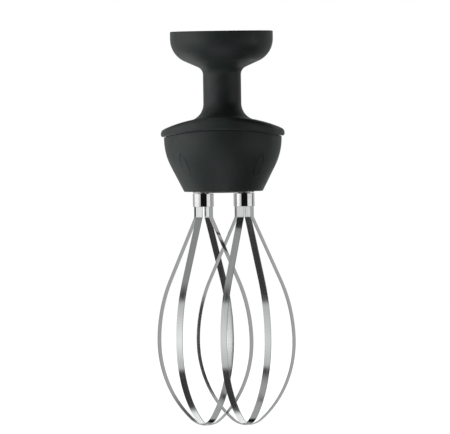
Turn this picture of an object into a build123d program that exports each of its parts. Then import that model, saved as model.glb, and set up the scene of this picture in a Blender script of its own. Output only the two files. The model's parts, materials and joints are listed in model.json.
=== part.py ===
"""Twin whisk attachment of a stick mixer: geared head with two counter-turning strip whisks."""
import os
from math import acos, atan2, cos, degrees, hypot, pi, radians, sin, sqrt, tan

from build123d import *

os.makedirs("parts", exist_ok=True)

# All lengths are millimetres and all angles degrees. The origin is the centre of the
# coupling cup's rim, +Z points up out of the cup and the whisks hang down.

# Fits
running_clearance = 0.03
push_clearance = 0.02
axial_gap = 0.2
seam_gap = 0.3

# Coupling cup
cup_radius = 36.0
cup_straight = 5.4
cup_bowl_radius = 17.0
cup_bowl_turn = 66.0
cup_rim_round = 0.8
socket_radius = 31.5
socket_depth = 12.0
seat_width = 4.5
recess_depth = 8.5
recess_floor_radius = 13.5
bayonet_count = 3
bayonet_width = 5.0
bayonet_depth = 1.8
bayonet_drop = 9.0
bayonet_turn = 27.0

# Neck and roof
neck_radius = 13.3
neck_top_round = 6.0
neck_length = 33.2
neck_foot_round = 12.0
roof_radius = 43.3
roof_height = 9.5
roof_vault_radius = 105.0
roof_top_round = 4.0
roof_edge_round = 1.6
roof_top_share = 0.7
roof_edge_share = 0.3
roof_wall = 3.0
roof_skirt_wall = 3.3
seam_arch_radius = 204.0

# Bell
bell_step = 2.1
bell_band = 5.3
bell_height = 37.5
bell_arc_radius = 44.0
bell_arc_turn = 27.0
bell_wall = 3.2
bell_floor = 5.0
bell_edge_round = 0.9
spigot_height = 2.0
spigot_wall = 1.8
gasket_thickness = 0.6
gasket_width = 1.1

# Housing screws in their wells
well_count = 4
well_radius = 3.6
well_inset = 6.9
well_wall = 1.5
well_ledge_depth = 11.1
well_first_angle = 45.0
plug_headroom = 0.5
plug_line_width = 0.3
plug_line_depth = 0.6
housing_screw_radius = 1.95
housing_screw_head_radius = 3.3
housing_screw_head_height = 2.8
housing_screw_reach = 3.0
screw_hole_clearance = 0.25

# Gear train
whisk_spacing = 28.5
whisk_teeth = 30
pinion_teeth = 12
lay_teeth = 36
lay_gear_room = 3.76
pressure_angle = 25.0
addendum_factor = 0.8
dedendum_factor = 1.05
tooth_thinning = 0.06
flank_steps = 2
whisk_gear_face = 8.8
lay_gear_face = 6.0
pinion_overlap = 0.5

# Shafts, bearings and bushes
drive_shaft_radius = 4.0
drive_collar_radius = 5.2
drive_pilot_radius = 3.0
bearing_outer_radius = 11.0
bearing_race_radius = 8.6
bearing_inner_radius = 6.3
bearing_width = 7.0
bearing_shield = 0.7
bearing_spacing = 9.0
shaft_sleeve_wall = 1.6
outer_sleeve_wall = 1.6
shaft_seal_radius = 10.0
shaft_seal_height = 5.0
seal_lip_wall = 1.2
seal_wall = 1.6
neck_web = 5.0
neck_passage_radius = 8.5
ring_thickness = 1.0
ring_groove_depth = 0.6
ring_width = 2.0
ring_opening = 50.0
layshaft_radius = 3.0
layshaft_flat = 2.3
layshaft_bush_wall = 1.6
layshaft_bush_length = 6.0
layshaft_boss_wall = 1.8
spindle_radius = 4.0
bush_wall = 2.4
bush_flange_width = 1.6
bush_flange_thickness = 1.0
spindle_boss_wall = 2.6
spindle_boss_height = 14.0
spindle_seal_height = 2.8
washer_thickness = 0.8
drive_pin_radius = 1.0
drive_pin_length = 13.0

# Bearing plate and its pillars
plate_thickness = 4.0
plate_inset = 10.6
pillar_count = 3
pillar_radius = 3.0
pillar_inset = 3.6
pillar_first_angle = -135.0
pillar_step = 90.0
plate_screw_radius = 1.4
plate_screw_head_radius = 2.6
plate_screw_head_height = 1.8
plate_screw_length = 10.0
stage_gap = 1.5

# Hexagon drive stub
hex_sides = 6
hex_across_flats = 10.0
hex_lift = 0.6
hex_below_seat = 1.0
hex_top_wall = 2.5
hex_chamfer = 0.8
hex_pin_radius = 1.25

# Seal plate under the bell
seal_plate_thickness = 1.0
seal_plate_margin = 3.2
seal_plate_lip = 0.6
seal_screw_pitch = 8.0
seal_screw_radius = 1.25
seal_screw_head_radius = 2.2
seal_screw_head_height = 0.6
seal_screw_length = 4.5

# Whisks
ferrule_radius = 7.35
ferrule_wall = 0.45
ferrule_length = 9.2
ferrule_gap = 0.4
hub_inset = 0.6
strip_width = 5.1
strip_thickness = 0.5
strip_seat_radius = 5.8
strip_root_gap = 0.4
strip_straight = 6.5
strip_bend_radius = 4.0
strip_flare = 25.6
strip_flare_length = 48.0
whisk_radius = 36.9
whisk_drop = 58.6
whisk_tip_radius = 17.0
crossing_gap = 0.3
left_whisk_turn = -27.0
right_whisk_turn = -23.0

# Heights, worked down from the cup's rim
seat_z = -socket_depth
recess_floor_z = seat_z - recess_depth
bowl_end_radius = cup_radius - cup_bowl_radius * (1 - cos(radians(cup_bowl_turn)))
bowl_end_z = -cup_straight - cup_bowl_radius * sin(radians(cup_bowl_turn))
cone_slope = radians(90 - cup_bowl_turn)
neck_corner_z = bowl_end_z - (bowl_end_radius - neck_radius) * tan(cone_slope)
crown_z = neck_corner_z - neck_length
seam_z = crown_z - roof_height
bell_shoulder_z = seam_z - bell_band
bell_bottom_z = bell_shoulder_z - bell_height

# Bearing stack in the neck
shaft_seal_z = recess_floor_z - shaft_seal_height
bearing_top_z = shaft_seal_z - neck_web
upper_bearing_z = bearing_top_z - bearing_width
lower_bearing_z = upper_bearing_z - bearing_spacing - bearing_width
neck_ring_z = lower_bearing_z - ring_thickness

# Gear levels, worked up from the bottom of the bell
floor_z = bell_bottom_z + bell_floor
boss_top_z = bell_bottom_z + spindle_boss_height
washer_z = boss_top_z + bush_flange_thickness
whisk_gear_z = washer_z + washer_thickness + axial_gap
whisk_gear_top_z = whisk_gear_z + whisk_gear_face
upper_bush_z = whisk_gear_top_z + drive_pin_radius + axial_gap
plate_z = upper_bush_z + bush_flange_thickness
plate_top_z = plate_z + plate_thickness
lay_gear_z = plate_top_z + stage_gap
lay_gear_top_z = lay_gear_z + lay_gear_face
layshaft_bush_z = lay_gear_top_z + stage_gap

# Whisk heights, worked down from the bottom of the bell
seal_plate_z = bell_bottom_z - seal_plate_thickness
ferrule_top_z = seal_plate_z - ferrule_gap
ferrule_bottom_z = ferrule_top_z - ferrule_length
hub_bottom_z = ferrule_bottom_z + hub_inset
strip_top_z = ferrule_top_z - strip_root_gap
strip_bend_z = ferrule_bottom_z - strip_straight

# Plan positions
bell_radius = roof_radius - bell_step
skirt_radius = roof_radius - roof_skirt_wall
well_ring_radius = roof_radius - well_inset
well_step = 360 / well_count
plate_radius = bell_radius - plate_inset
pillar_ring_radius = plate_radius - pillar_inset
axis_x = whisk_spacing / 2
whisk_module = whisk_spacing / whisk_teeth
lay_gear_reach = bell_radius - bell_wall - lay_gear_room
drive_module = lay_gear_reach / (pinion_teeth / 2 + lay_teeth + addendum_factor)
stage_one_distance = drive_module * (pinion_teeth + lay_teeth) / 2
stage_two_distance = whisk_module * (pinion_teeth + whisk_teeth) / 2
layshaft_x = (stage_two_distance**2 - stage_one_distance**2 - axis_x**2) / whisk_spacing
layshaft_y = sqrt(stage_one_distance**2 - layshaft_x**2)
bush_radius = spindle_radius + bush_wall
spindle_boss_radius = bush_radius + spindle_boss_wall
layshaft_bush_radius = layshaft_radius + layshaft_bush_wall
layshaft_boss_radius = layshaft_bush_radius + layshaft_boss_wall
sketch_reach = roof_radius + bell_step


def save(piece, name):
    """Label a finished piece and write it."""
    piece.part.label = name
    export_step(piece.part, f"parts/{name}.step")


def arch_drop(radius, x):
    """Height lost at a distance x from the middle of an arch."""
    return radius - sqrt(radius**2 - x**2)


def below_arch(crown, radius):
    """Front-view face under an arch that spans the whole head."""
    spring_z = crown - arch_drop(radius, sketch_reach)
    with BuildSketch(Plane.XZ) as face:
        with BuildLine():
            ThreePointArc((-sketch_reach, spring_z), (0, crown), (sketch_reach, spring_z))
            Polyline(
                (sketch_reach, spring_z),
                (sketch_reach, bell_bottom_z - sketch_reach),
                (-sketch_reach, bell_bottom_z - sketch_reach),
                (-sketch_reach, spring_z),
            )
        make_face()
    return face.sketch


def disc(radius, z, x=0.0, y=0.0, bore=0.0):
    """Round or ring-shaped face at one height."""
    with BuildSketch(Plane((x, y, z))) as face:
        Circle(radius)
        if bore > 0:
            Circle(bore, mode=Mode.SUBTRACT)
    return face.sketch


def polar_discs(radius, ring_radius, count, first_angle, step, z):
    """Equal round faces on a circle at one height."""
    with BuildSketch(Plane.XY.offset(z)) as face:
        with PolarLocations(ring_radius, count, first_angle, step * (count - 1), endpoint=True):
            Circle(radius)
    return face.sketch


def ring_sector(inner, outer, first_angle, span, z):
    """Part of a ring at one height."""
    with BuildSketch(Plane.XY.offset(z)) as face:
        with BuildLine():
            far = CenterArc((0, 0), outer, first_angle, span)
            near = CenterArc((0, 0), inner, first_angle, span)
            Line(near @ 0, far @ 0)
            Line(near @ 1, far @ 1)
        make_face()
    return face.sketch


def involute(radius, base):
    """Involute angle, in radians, of a flank at a radius."""
    if radius <= base:
        return 0.0
    roll = acos(base / radius)
    return tan(roll) - roll


def gear_face(teeth, module, phase, x, y, z):
    """Outline of a spur gear with one tooth centred on the phase angle."""
    pitch = teeth * module / 2
    base = pitch * cos(radians(pressure_angle))
    tip = pitch + addendum_factor * module
    root = pitch - dedendum_factor * module
    flank_foot = max(root, base)
    half_at_base = pi / (2 * teeth) - tooth_thinning / (2 * pitch) + involute(pitch, base)
    flank = [(root, half_at_base - involute(root, base))] if root < base else []
    for step in range(flank_steps + 1):
        radius = flank_foot + (tip - flank_foot) * step / flank_steps
        flank.append((radius, half_at_base - involute(radius, base)))
    tooth = [(radius, -half) for radius, half in flank]
    tooth += [(radius, half) for radius, half in reversed(flank)]
    points = []
    for number in range(teeth):
        centre = radians(phase) + 2 * pi * number / teeth
        points += [(radius * cos(centre + turn), radius * sin(centre + turn)) for radius, turn in tooth]
    with BuildSketch(Plane((x, y, z))) as face:
        with BuildLine():
            Polyline(*points, close=True)
        make_face()
    return face.sketch


def mesh_phase(line_angle, teeth, phase, mate_teeth):
    """Phase that puts a mate's tooth space on a gear's tooth along their line of centres."""
    offset = phase - line_angle
    return line_angle + 180 - offset * teeth / mate_teeth + 180 / mate_teeth


# Phases of the meshing gears
left_gear_phase = 0.0
right_gear_phase = mesh_phase(0.0, whisk_teeth, left_gear_phase, whisk_teeth)
left_to_layshaft = degrees(atan2(layshaft_y, layshaft_x + axis_x))
lay_pinion_phase = mesh_phase(left_to_layshaft, whisk_teeth, left_gear_phase, pinion_teeth)
layshaft_to_drive = degrees(atan2(-layshaft_y, -layshaft_x))
lay_gear_phase = 0.0
drive_pinion_phase = mesh_phase(layshaft_to_drive, lay_teeth, lay_gear_phase, pinion_teeth)

# Roof of the upper housing: a round disc under a vault, with an arched lower edge
side_nose = (
    roof_height + arch_drop(seam_arch_radius, roof_radius) - arch_drop(roof_vault_radius, roof_radius)
)
with BuildPart() as roof:
    seam_low_z = seam_z - arch_drop(seam_arch_radius, roof_radius) - seam_gap
    extrude(disc(roof_radius, seam_low_z), amount=crown_z - seam_low_z)
    extrude(below_arch(crown_z, roof_vault_radius), amount=sketch_reach, both=True, mode=Mode.INTERSECT)
    extrude(below_arch(seam_z, seam_arch_radius), amount=sketch_reach, both=True, mode=Mode.SUBTRACT)
    lower_rim = roof.edges().filter_by(GeomType.LINE, reverse=True).sort_by(Axis.Z)[0]
    fillet(lower_rim, min(roof_edge_round, roof_edge_share * side_nose))
    upper_rim = roof.edges().filter_by(GeomType.LINE, reverse=True).sort_by(Axis.Z)[-1]
    fillet(upper_rim, min(roof_top_round, roof_top_share * side_nose))

# Space inside the roof, left round the screw bosses
inner_crown_z = crown_z - roof_wall
shoulder_radius = skirt_radius - bell_wall + spigot_wall / 2
with BuildPart() as roof_cavity:
    extrude(disc(shoulder_radius, bell_shoulder_z), amount=inner_crown_z - bell_shoulder_z)
    screw_bosses = polar_discs(
        well_radius + well_wall / 2, well_ring_radius, well_count, well_first_angle, well_step,
        bell_shoulder_z,
    )
    extrude(screw_bosses, amount=inner_crown_z - bell_shoulder_z, mode=Mode.SUBTRACT)
    extrude(
        below_arch(inner_crown_z, roof_vault_radius - roof_wall),
        amount=sketch_reach, both=True, mode=Mode.INTERSECT,
    )

# Ring-shaped step in the roof that the bell's spigot and gasket enter
with BuildPart() as skirt_step:
    extrude(
        disc(skirt_radius, bell_shoulder_z, bore=shoulder_radius - axial_gap),
        amount=crown_z - bell_shoulder_z,
    )
    extrude(
        below_arch(seam_z + spigot_height + gasket_thickness, seam_arch_radius),
        amount=sketch_reach, both=True, mode=Mode.INTERSECT,
    )

with BuildPart() as upper_housing:
    with BuildSketch(Plane.XZ):
        with BuildLine():
            rim = Line((0, 0), (cup_radius - cup_rim_round, 0))
            rim_edge = JernArc(rim @ 1, (1, 0), cup_rim_round, -90)
            wall = Line(rim_edge @ 1, (cup_radius, -cup_straight))
            bowl = JernArc(wall @ 1, (0, -1), cup_bowl_radius, -cup_bowl_turn)
            cone_run = (bowl_end_radius - neck_radius) / cos(cone_slope)
            cone_run -= neck_top_round * tan(radians(cup_bowl_turn / 2))
            cone = PolarLine(bowl @ 1, cone_run, -90 - cup_bowl_turn)
            neck_top = JernArc(cone @ 1, cone % 1, neck_top_round, cup_bowl_turn)
            neck = Line(neck_top @ 1, (neck_radius, inner_crown_z))
            Polyline(neck @ 1, (0, inner_crown_z), (0, 0))
        make_face()
    revolve(axis=Axis.Z)
    add(roof.part)
    neck_foot = [
        edge
        for edge in upper_housing.edges()
        if abs(hypot((edge @ 0.5).X, (edge @ 0.5).Y) - neck_radius) < push_clearance
        and abs((edge @ 0.5).Z - crown_z) < arch_drop(roof_vault_radius, neck_radius) + axial_gap
    ]
    fillet(neck_foot, neck_foot_round)
    # Socket, seat, recess, seal pocket and bearing bore on one axis
    with BuildSketch(Plane.XZ):
        with BuildLine():
            Polyline(
                (0, 0),
                (socket_radius, 0),
                (socket_radius, seat_z),
                (socket_radius - seat_width, seat_z),
                (recess_floor_radius, recess_floor_z),
                (shaft_seal_radius, recess_floor_z),
                (shaft_seal_radius, shaft_seal_z),
                (neck_passage_radius, shaft_seal_z),
                (neck_passage_radius, bearing_top_z),
                (bearing_outer_radius, bearing_top_z),
                (bearing_outer_radius, neck_ring_z + ring_thickness + axial_gap / 2),
                (bearing_outer_radius + ring_groove_depth, neck_ring_z + ring_thickness + axial_gap / 2),
                (bearing_outer_radius + ring_groove_depth, neck_ring_z - axial_gap / 2),
                (bearing_outer_radius, neck_ring_z - axial_gap / 2),
                (bearing_outer_radius, seam_z),
                (0, seam_z),
                close=True,
            )
        make_face()
    revolve(axis=Axis.Z, mode=Mode.SUBTRACT)
    add(roof_cavity.part, mode=Mode.SUBTRACT)
    add(skirt_step.part, mode=Mode.SUBTRACT)
    # Bayonet grooves: a way in from the rim, then a run round the wall
    entry_angle = degrees(bayonet_width / socket_radius)
    for number in range(bayonet_count):
        start = 360 * number / bayonet_count
        reach = socket_radius + bayonet_depth
        inside = socket_radius - bayonet_depth
        entry = ring_sector(inside, reach, start, entry_angle, -bayonet_drop)
        extrude(entry, amount=bayonet_drop, mode=Mode.SUBTRACT)
        run = ring_sector(inside, reach, start, bayonet_turn, -bayonet_drop)
        extrude(run, amount=bayonet_width, mode=Mode.SUBTRACT)
    # Pillars for the bearing plate and boss for the layshaft's upper bush
    for number in range(pillar_count):
        angle = radians(pillar_first_angle + pillar_step * number)
        pillar_x = pillar_ring_radius * cos(angle)
        pillar_y = pillar_ring_radius * sin(angle)
        pillar_top_z = inner_crown_z - arch_drop(roof_vault_radius - roof_wall, pillar_x) + roof_wall / 2
        pillar = disc(pillar_radius, plate_top_z, pillar_x, pillar_y)
        extrude(pillar, amount=pillar_top_z - plate_top_z)
        screw_hole = disc(plate_screw_radius + push_clearance, plate_top_z, pillar_x, pillar_y)
        extrude(screw_hole, amount=plate_screw_length, mode=Mode.SUBTRACT)
    layshaft_boss = disc(layshaft_boss_radius, layshaft_bush_z, layshaft_x, layshaft_y)
    extrude(layshaft_boss, amount=inner_crown_z + roof_wall / 2 - layshaft_bush_z)
    layshaft_bore = disc(layshaft_bush_radius + push_clearance, layshaft_bush_z, layshaft_x, layshaft_y)
    extrude(layshaft_bore, amount=layshaft_bush_length, mode=Mode.SUBTRACT)
    housing_screw_top_z = seam_z + housing_screw_reach
    housing_screw_holes = polar_discs(
        housing_screw_radius + push_clearance, well_ring_radius, well_count, well_first_angle,
        well_step, bell_shoulder_z,
    )
    extrude(housing_screw_holes, amount=housing_screw_top_z - bell_shoulder_z, mode=Mode.SUBTRACT)
save(upper_housing, "upper_housing")


def bell_profile(inset, top_z, bottom_z):
    """Half section of the bell, moved inwards by an inset, down to a flat bottom."""
    arc_radius = bell_arc_radius - inset
    taper = radians(bell_arc_turn)
    with BuildSketch(Plane.XZ) as face:
        with BuildLine():
            top = Line((0, top_z), (bell_radius - inset, top_z))
            band = Line(top @ 1, (bell_radius - inset, bell_shoulder_z))
            curve = JernArc(band @ 1, (0, -1), arc_radius, -bell_arc_turn)
            run = ((curve @ 1).Y - bottom_z) / cos(taper)
            side = PolarLine(curve @ 1, run, -90 - bell_arc_turn)
            Polyline(side @ 1, (0, bottom_z), (0, top_z))
        make_face()
    return face.sketch


# Gear space in the bell, left round the screw wells, spindle bosses and layshaft boss
with BuildPart() as gear_space:
    revolve(bell_profile(bell_wall, crown_z, floor_z), axis=Axis.Z)
    well_bosses = polar_discs(
        well_radius + well_wall, well_ring_radius, well_count, well_first_angle, well_step, floor_z,
    )
    extrude(well_bosses, amount=crown_z - floor_z, mode=Mode.SUBTRACT)
    for side_x in (-axis_x, axis_x):
        spindle_boss = disc(spindle_boss_radius, floor_z, side_x)
        extrude(spindle_boss, amount=boss_top_z - floor_z, mode=Mode.SUBTRACT)
    layshaft_foot = disc(layshaft_boss_radius, floor_z, layshaft_x, layshaft_y)
    extrude(layshaft_foot, amount=boss_top_z - floor_z, mode=Mode.SUBTRACT)

# Spigot on top of the bell
with BuildPart() as spigot:
    extrude(
        disc(skirt_radius - axial_gap, bell_shoulder_z, bore=skirt_radius - axial_gap - spigot_wall),
        amount=crown_z - bell_shoulder_z,
    )
    extrude(
        below_arch(seam_z + spigot_height, seam_arch_radius),
        amount=sketch_reach, both=True, mode=Mode.INTERSECT,
    )

with BuildPart() as lower_housing:
    revolve(bell_profile(0.0, crown_z, bell_bottom_z), axis=Axis.Z)
    fillet(lower_housing.edges().group_by(Axis.Z)[0], bell_edge_round)
    extrude(
        below_arch(seam_z - seam_gap, seam_arch_radius),
        amount=sketch_reach, both=True, mode=Mode.INTERSECT,
    )
    add(gear_space.part, mode=Mode.SUBTRACT)
    add(spigot.part)
    # Screw wells open through the tapering wall with leaf-shaped mouths
    well_ledge_z = seam_z - well_ledge_depth
    wells = polar_discs(
        well_radius, well_ring_radius, well_count, well_first_angle, well_step, bell_bottom_z,
    )
    extrude(wells, amount=well_ledge_z - bell_bottom_z, mode=Mode.SUBTRACT)
    bell_screw_holes = polar_discs(
        housing_screw_radius + screw_hole_clearance, well_ring_radius, well_count, well_first_angle,
        well_step, well_ledge_z,
    )
    extrude(bell_screw_holes, amount=crown_z - well_ledge_z, mode=Mode.SUBTRACT)
    # Bores for the lower bushes and seals, and for the seal plate's screws
    for side_x in (-axis_x, axis_x):
        spindle_bore = disc(bush_radius + push_clearance, bell_bottom_z, side_x)
        extrude(spindle_bore, amount=boss_top_z - bell_bottom_z, mode=Mode.SUBTRACT)
        screw_x = seal_screw_pitch / 2 * side_x / axis_x
        seal_screw_hole = disc(seal_screw_radius + push_clearance, bell_bottom_z, screw_x)
        extrude(seal_screw_hole, amount=seal_screw_length, mode=Mode.SUBTRACT)
    layshaft_foot_bore = disc(
        layshaft_bush_radius + push_clearance, boss_top_z - layshaft_bush_length, layshaft_x, layshaft_y
    )
    extrude(layshaft_foot_bore, amount=layshaft_bush_length, mode=Mode.SUBTRACT)
save(lower_housing, "lower_housing")


def plug_bodies(radius, inset):
    """Round bodies in the wells, cut off at the bell's surface moved inwards by an inset."""
    plug_top_z = well_ledge_z - housing_screw_head_height - plug_headroom
    with BuildPart() as bodies:
        ends = polar_discs(
            radius, well_ring_radius, well_count, well_first_angle, well_step, bell_bottom_z,
        )
        extrude(ends, amount=plug_top_z - bell_bottom_z)
        revolve(bell_profile(inset, crown_z, bell_bottom_z), axis=Axis.Z, mode=Mode.INTERSECT)
    return bodies.part


# Plugs over the housing screws, flush with the bell inside a fine leaf-shaped line
with BuildPart() as well_plugs:
    add(plug_bodies(well_radius - push_clearance, plug_line_depth))
    add(plug_bodies(well_radius - plug_line_width, 0.0))
save(well_plugs, "well_plugs")

with BuildPart() as housing_gasket:
    gasket_outer = skirt_radius - 2 * axial_gap
    extrude(
        disc(gasket_outer, bell_shoulder_z, bore=gasket_outer - gasket_width),
        amount=crown_z - bell_shoulder_z,
    )
    extrude(
        below_arch(seam_z + spigot_height + gasket_thickness, seam_arch_radius),
        amount=sketch_reach, both=True, mode=Mode.INTERSECT,
    )
    extrude(
        below_arch(seam_z + spigot_height, seam_arch_radius),
        amount=sketch_reach, both=True, mode=Mode.SUBTRACT,
    )
save(housing_gasket, "housing_gasket")

with BuildPart() as housing_screws:
    screw_heads = polar_discs(
        housing_screw_head_radius, well_ring_radius, well_count, well_first_angle, well_step,
        well_ledge_z - housing_screw_head_height,
    )
    extrude(screw_heads, amount=housing_screw_head_height)
    screw_shanks = polar_discs(
        housing_screw_radius, well_ring_radius, well_count, well_first_angle, well_step, well_ledge_z,
    )
    extrude(screw_shanks, amount=housing_screw_top_z - push_clearance - well_ledge_z)
save(housing_screws, "housing_screws")

with BuildPart() as bearing_plate:
    extrude(disc(plate_radius, plate_z), amount=plate_thickness)
    for side_x in (-axis_x, axis_x):
        bush_hole = disc(bush_radius + push_clearance, plate_z, side_x)
        extrude(bush_hole, amount=plate_thickness, mode=Mode.SUBTRACT)
    pilot_bore = disc(drive_pilot_radius + layshaft_bush_wall + push_clearance, plate_z)
    extrude(pilot_bore, amount=plate_thickness, mode=Mode.SUBTRACT)
    layshaft_hole = disc(layshaft_radius + stage_gap, plate_z, layshaft_x, layshaft_y)
    extrude(layshaft_hole, amount=plate_thickness, mode=Mode.SUBTRACT)
    plate_holes = polar_discs(
        plate_screw_radius + screw_hole_clearance, pillar_ring_radius, pillar_count, pillar_first_angle,
        pillar_step, plate_z,
    )
    extrude(plate_holes, amount=plate_thickness, mode=Mode.SUBTRACT)
save(bearing_plate, "bearing_plate")

with BuildPart() as plate_screws:
    plate_heads = polar_discs(
        plate_screw_head_radius, pillar_ring_radius, pillar_count, pillar_first_angle, pillar_step,
        plate_z - plate_screw_head_height,
    )
    extrude(plate_heads, amount=plate_screw_head_height)
    plate_shanks = polar_discs(
        plate_screw_radius, pillar_ring_radius, pillar_count, pillar_first_angle, pillar_step, plate_z,
    )
    extrude(plate_shanks, amount=plate_thickness + plate_screw_length - axial_gap)
save(plate_screws, "plate_screws")


def tube(name, outer, inner, z, height, x=0.0, y=0.0):
    """Plain sleeve or washer."""
    with BuildPart() as sleeve:
        extrude(disc(outer, z, x, y, bore=inner), amount=height)
    save(sleeve, name)


def flanged_bush(name, shaft_radius, z, length, x, flange_z):
    """Bronze bush with a flange at one end."""
    with BuildPart() as bush:
        bore = shaft_radius + running_clearance
        extrude(disc(bush_radius, z, x, bore=bore), amount=length)
        flange = disc(bush_radius + bush_flange_width, flange_z, x, bore=bore)
        extrude(flange, amount=bush_flange_thickness)
    save(bush, name)


def lip_seal(name, outer, shaft_radius, z, height, x):
    """Rubber seal: a ring with an inner lip that runs close to the shaft."""
    with BuildPart() as seal:
        ring = disc(outer, z, x, bore=outer - seal_wall)
        extrude(ring, amount=height)
        lip = disc(outer, z, x, bore=shaft_radius + running_clearance)
        extrude(lip, amount=seal_lip_wall)
    save(seal, name)


def snap_ring(name, inner, outer, z):
    """Open retaining ring."""
    with BuildPart() as ring:
        half_opening = ring_opening / 2
        extrude(ring_sector(inner, outer, half_opening, 360 - ring_opening, z), amount=ring_thickness)
    save(ring, name)


# Bearing stack in the neck
for position, bearing_z in (("upper", upper_bearing_z), ("lower", lower_bearing_z)):
    with BuildPart() as outer_ring:
        with BuildSketch(Plane.XZ):
            with BuildLine():
                shield_bore = bearing_inner_radius + running_clearance
                ring_outside = bearing_outer_radius - push_clearance
                ring_top_z = bearing_z + bearing_width
                Polyline(
                    (shield_bore, bearing_z),
                    (ring_outside, bearing_z),
                    (ring_outside, ring_top_z),
                    (shield_bore, ring_top_z),
                    (shield_bore, ring_top_z - bearing_shield),
                    (bearing_race_radius, ring_top_z - bearing_shield),
                    (bearing_race_radius, bearing_z + bearing_shield),
                    (shield_bore, bearing_z + bearing_shield),
                    close=True,
                )
            make_face()
        revolve(axis=Axis.Z)
    save(outer_ring, f"{position}_bearing_outer_ring")
    tube(
        f"{position}_bearing_inner_ring", bearing_inner_radius, drive_shaft_radius + push_clearance,
        bearing_z, bearing_width,
    )
sleeve_z = lower_bearing_z + bearing_width
sleeve_outside = bearing_outer_radius - push_clearance
tube("bearing_sleeve", sleeve_outside, sleeve_outside - outer_sleeve_wall, sleeve_z, bearing_spacing)
shaft_bore = drive_shaft_radius + push_clearance
tube("shaft_sleeve", shaft_bore + shaft_sleeve_wall, shaft_bore, sleeve_z, bearing_spacing)
neck_ring_outside = bearing_outer_radius + ring_groove_depth - push_clearance
snap_ring("neck_retaining_ring", neck_ring_outside - ring_width, neck_ring_outside, neck_ring_z)
shaft_groove_radius = drive_shaft_radius - ring_groove_depth
shaft_ring_inside = shaft_groove_radius + push_clearance
snap_ring("shaft_retaining_ring", shaft_ring_inside, shaft_ring_inside + ring_width, neck_ring_z)
seal_outside = shaft_seal_radius - push_clearance
lip_seal("shaft_seal", seal_outside, drive_shaft_radius, shaft_seal_z, shaft_seal_height, 0)
tube(
    "pilot_bush", drive_pilot_radius + layshaft_bush_wall, drive_pilot_radius + running_clearance,
    plate_z, plate_thickness,
)

# Drive shaft with its pinion cut on the end
hex_bottom_z = recess_floor_z + hex_lift
hex_top_z = seat_z - hex_below_seat
drive_shaft_top_z = hex_top_z - hex_top_wall
drive_pinion_z = lay_gear_z - pinion_overlap
drive_pinion_top_z = lay_gear_top_z + pinion_overlap
hex_pin_z = (hex_bottom_z + drive_shaft_top_z) / 2
with BuildPart() as drive_shaft:
    extrude(disc(drive_shaft_radius, drive_pinion_top_z), amount=drive_shaft_top_z - drive_pinion_top_z)
    collar = disc(drive_collar_radius, bearing_top_z)
    extrude(collar, amount=neck_web - axial_gap)
    ring_groove = disc(
        drive_shaft_radius + push_clearance, neck_ring_z - axial_gap / 2, bore=shaft_groove_radius
    )
    extrude(ring_groove, amount=ring_thickness + axial_gap, mode=Mode.SUBTRACT)
    pinion = gear_face(pinion_teeth, drive_module, drive_pinion_phase, 0, 0, drive_pinion_z)
    extrude(pinion, amount=drive_pinion_top_z - drive_pinion_z)
    extrude(disc(drive_pilot_radius, plate_z), amount=drive_pinion_z - plate_z)
    with BuildSketch(Plane.XZ):
        with Locations((0, hex_pin_z)):
            Circle(hex_pin_radius + push_clearance)
    extrude(amount=drive_shaft_radius, both=True, mode=Mode.SUBTRACT)
save(drive_shaft, "drive_shaft")

with BuildPart() as drive_hexagon:
    with BuildSketch(Plane.XY.offset(hex_bottom_z)):
        RegularPolygon(hex_across_flats / 2, hex_sides, major_radius=False)
    extrude(amount=hex_top_z - hex_bottom_z)
    chamfer(drive_hexagon.faces().sort_by(Axis.Z)[-1].edges(), hex_chamfer)
    extrude(disc(shaft_bore, hex_bottom_z), amount=drive_shaft_top_z - hex_bottom_z, mode=Mode.SUBTRACT)
    with BuildSketch(Plane.XZ):
        with Locations((0, hex_pin_z)):
            Circle(hex_pin_radius + push_clearance)
    extrude(amount=hex_across_flats, both=True, mode=Mode.SUBTRACT)
save(drive_hexagon, "drive_hexagon")

with BuildPart() as hexagon_pin:
    with BuildSketch(Plane.XZ):
        with Locations((0, hex_pin_z)):
            Circle(hex_pin_radius)
    extrude(amount=hex_across_flats / 2, both=True)
save(hexagon_pin, "hexagon_pin")


def flatted_disc(radius, flat, z, x, y):
    """Round face with one flat side, for a shaft seat that can't slip."""
    with BuildSketch(Plane((x, y, z))) as face:
        Circle(radius)
        with Locations((flat, 0)):
            Rectangle(2 * radius, 2 * radius, align=(Align.MIN, Align.CENTER), mode=Mode.SUBTRACT)
    return face.sketch


# Layshaft with its pinion, carried in a bush at each end
layshaft_bottom_z = boss_top_z - layshaft_bush_length
layshaft_top_z = layshaft_bush_z + layshaft_bush_length - axial_gap
with BuildPart() as layshaft:
    lower_journal = disc(layshaft_radius, layshaft_bottom_z + axial_gap, layshaft_x, layshaft_y)
    extrude(lower_journal, amount=lay_gear_z - layshaft_bottom_z - axial_gap)
    seat = flatted_disc(layshaft_radius, layshaft_flat, lay_gear_z, layshaft_x, layshaft_y)
    extrude(seat, amount=lay_gear_face)
    upper_journal = disc(layshaft_radius, lay_gear_top_z, layshaft_x, layshaft_y)
    extrude(upper_journal, amount=layshaft_top_z - lay_gear_top_z)
    lay_pinion = gear_face(
        pinion_teeth, whisk_module, lay_pinion_phase, layshaft_x, layshaft_y, whisk_gear_z - pinion_overlap
    )
    extrude(lay_pinion, amount=whisk_gear_face + 2 * pinion_overlap)
save(layshaft, "layshaft")

with BuildPart() as lay_gear:
    extrude(
        gear_face(lay_teeth, drive_module, lay_gear_phase, layshaft_x, layshaft_y, lay_gear_z),
        amount=lay_gear_face,
    )
    seat_hole = flatted_disc(
        layshaft_radius + push_clearance, layshaft_flat + push_clearance, lay_gear_z, layshaft_x, layshaft_y,
    )
    extrude(seat_hole, amount=lay_gear_face, mode=Mode.SUBTRACT)
save(lay_gear, "lay_gear")

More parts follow.
